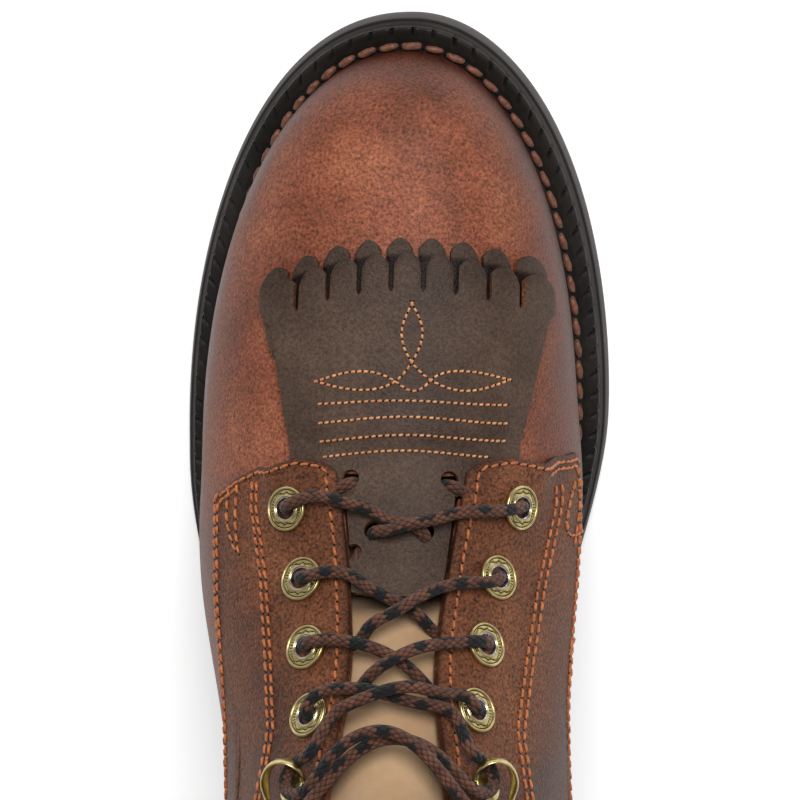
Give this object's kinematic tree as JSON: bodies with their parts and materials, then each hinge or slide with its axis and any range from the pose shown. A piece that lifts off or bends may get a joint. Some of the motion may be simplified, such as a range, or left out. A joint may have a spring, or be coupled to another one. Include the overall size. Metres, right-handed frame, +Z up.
{
  "type": "packer boot",
  "caption": "Left lace-up packer boot with a round toe, fringed double kiltie, eyelets and hooks, a welted sole and a packer heel.",
  "frame": {"origin": "middle of the footprint's bounding box, on the floor", "axes": "-Y towards the toe, +X towards the outer (lateral) side of a left foot, +Z up"},
  "size_m": [0.116, 0.31, 0.2493],
  "materials": {
    "sole_rubber": "matt moulded",
    "lift_rubber": "matt moulded",
    "welt_leather": "waxed, notched",
    "insole_leather": "natural",
    "vamp_leather": "burnished, waxed",
    "quarter_leather": "waxy, distressed",
    "kiltie_leather": "oiled, worn edges",
    "tongue_nubuck": "nubuck",
    "lining_leather": "natural",
    "antique_brass": "antiqued, engraved",
    "barrel_metal": "plated, worn",
    "lace_cord": "braided",
    "orange_thread": "waxed thread",
    "copper_thread": "waxed thread",
    "welt_thread": "waxed thread"
  },
  "bodies": {
    "root": {"outsole": "sole_rubber", "heel": "sole_rubber", "heel_lift": "lift_rubber", "welt": "welt_leather", "insole": "insole_leather", "upper": "vamp_leather", "tongue": "tongue_nubuck", "kiltie_top": "kiltie_leather", "kiltie_under": "kiltie_leather", "eyelet_left_1": "antique_brass", "eyelet_left_2": "antique_brass", "eyelet_left_3": "antique_brass", "eyelet_left_4": "antique_brass", "hook_left_1": "antique_brass", "hook_left_2": "antique_brass", "hook_left_3": "antique_brass", "hook_left_4": "antique_brass", "hook_left_5": "antique_brass", "hook_left_6": "antique_brass", "eyelet_right_1": "antique_brass", "eyelet_right_2": "antique_brass", "eyelet_right_3": "antique_brass", "eyelet_right_4": "antique_brass", "hook_right_1": "antique_brass", "hook_right_2": "antique_brass", "hook_right_3": "antique_brass", "hook_right_4": "antique_brass", "hook_right_5": "antique_brass", "hook_right_6": "antique_brass", "lace_1": "lace_cord", "lace_2": "lace_cord", "lace_3": "lace_cord", "lace_4": "lace_cord", "lace_5": "lace_cord", "lace_6": "lace_cord", "lace_7": "lace_cord", "lace_8": "lace_cord", "lace_9": "lace_cord"}
  },
  "joints": []
}
